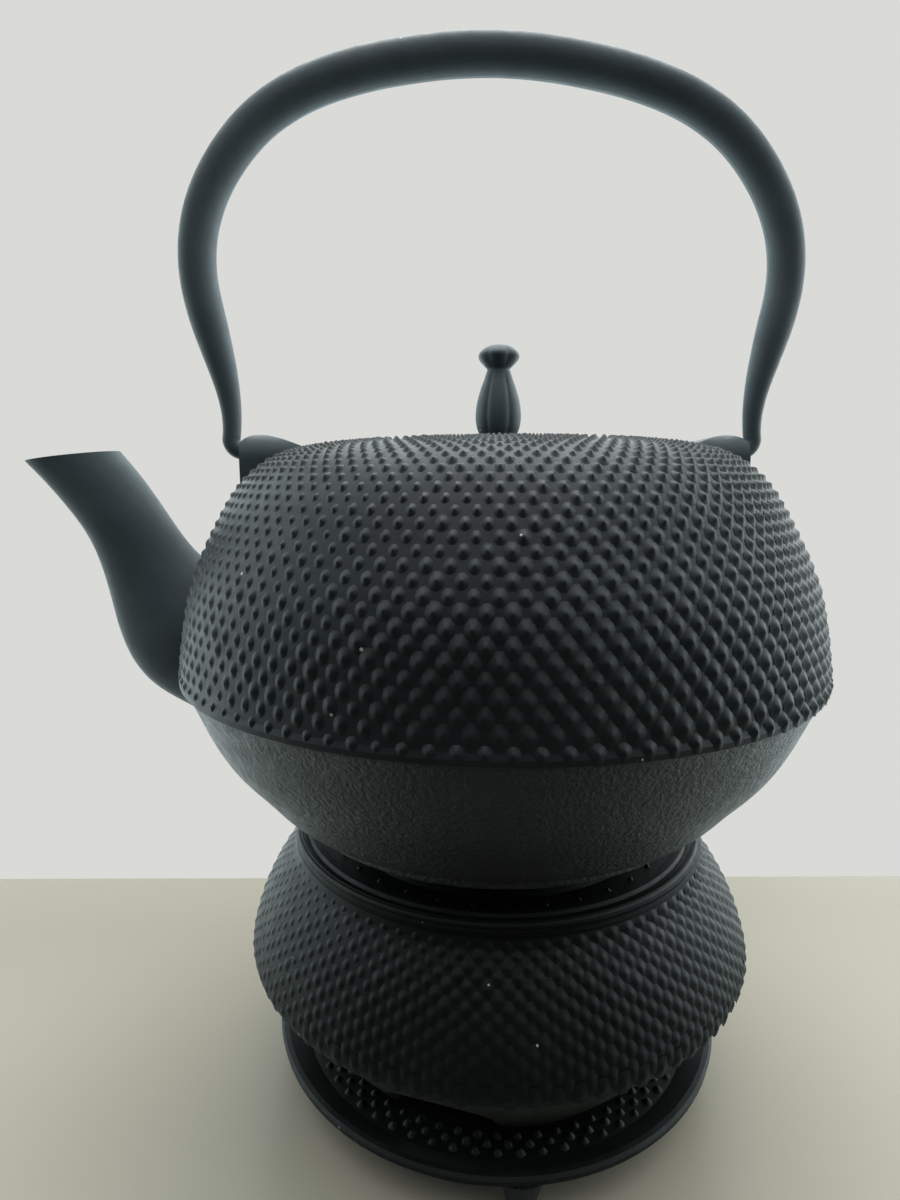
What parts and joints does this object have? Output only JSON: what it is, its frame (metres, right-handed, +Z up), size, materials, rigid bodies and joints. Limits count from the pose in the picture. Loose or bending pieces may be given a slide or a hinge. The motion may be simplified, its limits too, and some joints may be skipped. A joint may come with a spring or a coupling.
{
  "type": "cast iron teapot",
  "caption": "Black cast iron hobnail teapot with a tall swinging bail handle and curved spout, standing on a matching tea light warmer and a footed trivet.",
  "frame": {"origin": "under the middle of the bounding box, in the plane that the trivet's feet stand on; the teapot's own vertical axis is at x = 21.36 mm", "axes": "+Z up; the spout points along -X; the upright bail lies in the XZ plane; +Y is to the back"},
  "size_m": [0.2228, 0.18, 0.2953],
  "materials": {
    "hobnail_iron": "matte black, cast hobnail relief",
    "plain_iron": "matte black, fine sand-cast grain",
    "bail_iron": "satin black, smooth forged bar",
    "steel": "brushed and etched stainless steel",
    "bolt_steel": "plain steel",
    "cup_aluminium": "bright pressed foil",
    "wax": "soft white paraffin wax",
    "wick": "braided cotton"
  },
  "bodies": {
    "trivet": {"trivet_plate": "hobnail_iron", "trivet_foot_1": "plain_iron", "trivet_foot_2": "plain_iron", "trivet_foot_3": "plain_iron"},
    "tealight": {"tealight_cup": "cup_aluminium", "tealight_wax": "wax", "tealight_wick": "wick", "tealight_wick_tab": "bolt_steel"},
    "warmer": {"warmer_shell": "hobnail_iron", "warmer_skirt": "plain_iron"},
    "rest_ring": {"kettle_rest_ring": "plain_iron"},
    "kettle": {"kettle_dome": "hobnail_iron", "kettle_bowl": "plain_iron", "kettle_spout": "plain_iron", "bail_lug_right": "plain_iron", "bail_lug_left": "plain_iron"},
    "infuser": {"infuser_rim": "steel", "infuser_basket": "steel", "infuser_base": "steel"},
    "lid_group": {"lid": "hobnail_iron", "lid_knob": "plain_iron", "knob_washer": "bolt_steel", "knob_nut": "bolt_steel"},
    "bail": {"bail_handle": "bail_iron"}
  },
  "joints": [
    {"name": "tealight_lift", "type": "slide", "parent": "trivet", "child": "tealight", "axis": [0, 0, 1], "range_m": [0, 0.03]},
    {"name": "warmer_lift", "type": "slide", "parent": "trivet", "child": "warmer", "axis": [0, 0, 1], "range_m": [0, 0.06]},
    {"name": "rest_ring_lift", "type": "slide", "parent": "warmer", "child": "rest_ring", "axis": [0, 0, 1], "range_m": [0, 0.04]},
    {"name": "kettle_lift", "type": "slide", "parent": "rest_ring", "child": "kettle", "axis": [0, 0, 1], "range_m": [0, 0.08]},
    {"name": "infuser_lift", "type": "slide", "parent": "kettle", "child": "infuser", "axis": [0, 0, 1], "range_m": [0, 0.046]},
    {"name": "lid_lift", "type": "slide", "parent": "infuser", "child": "lid_group", "axis": [0, 0, 1], "range_m": [0, 0.018]},
    {"name": "bail_swing", "type": "hinge", "parent": "kettle", "child": "bail", "pos_m": [0.02136, 0, 0.1862], "axis": [1, 0, 0], "range_deg": [-115, 115]}
  ]
}
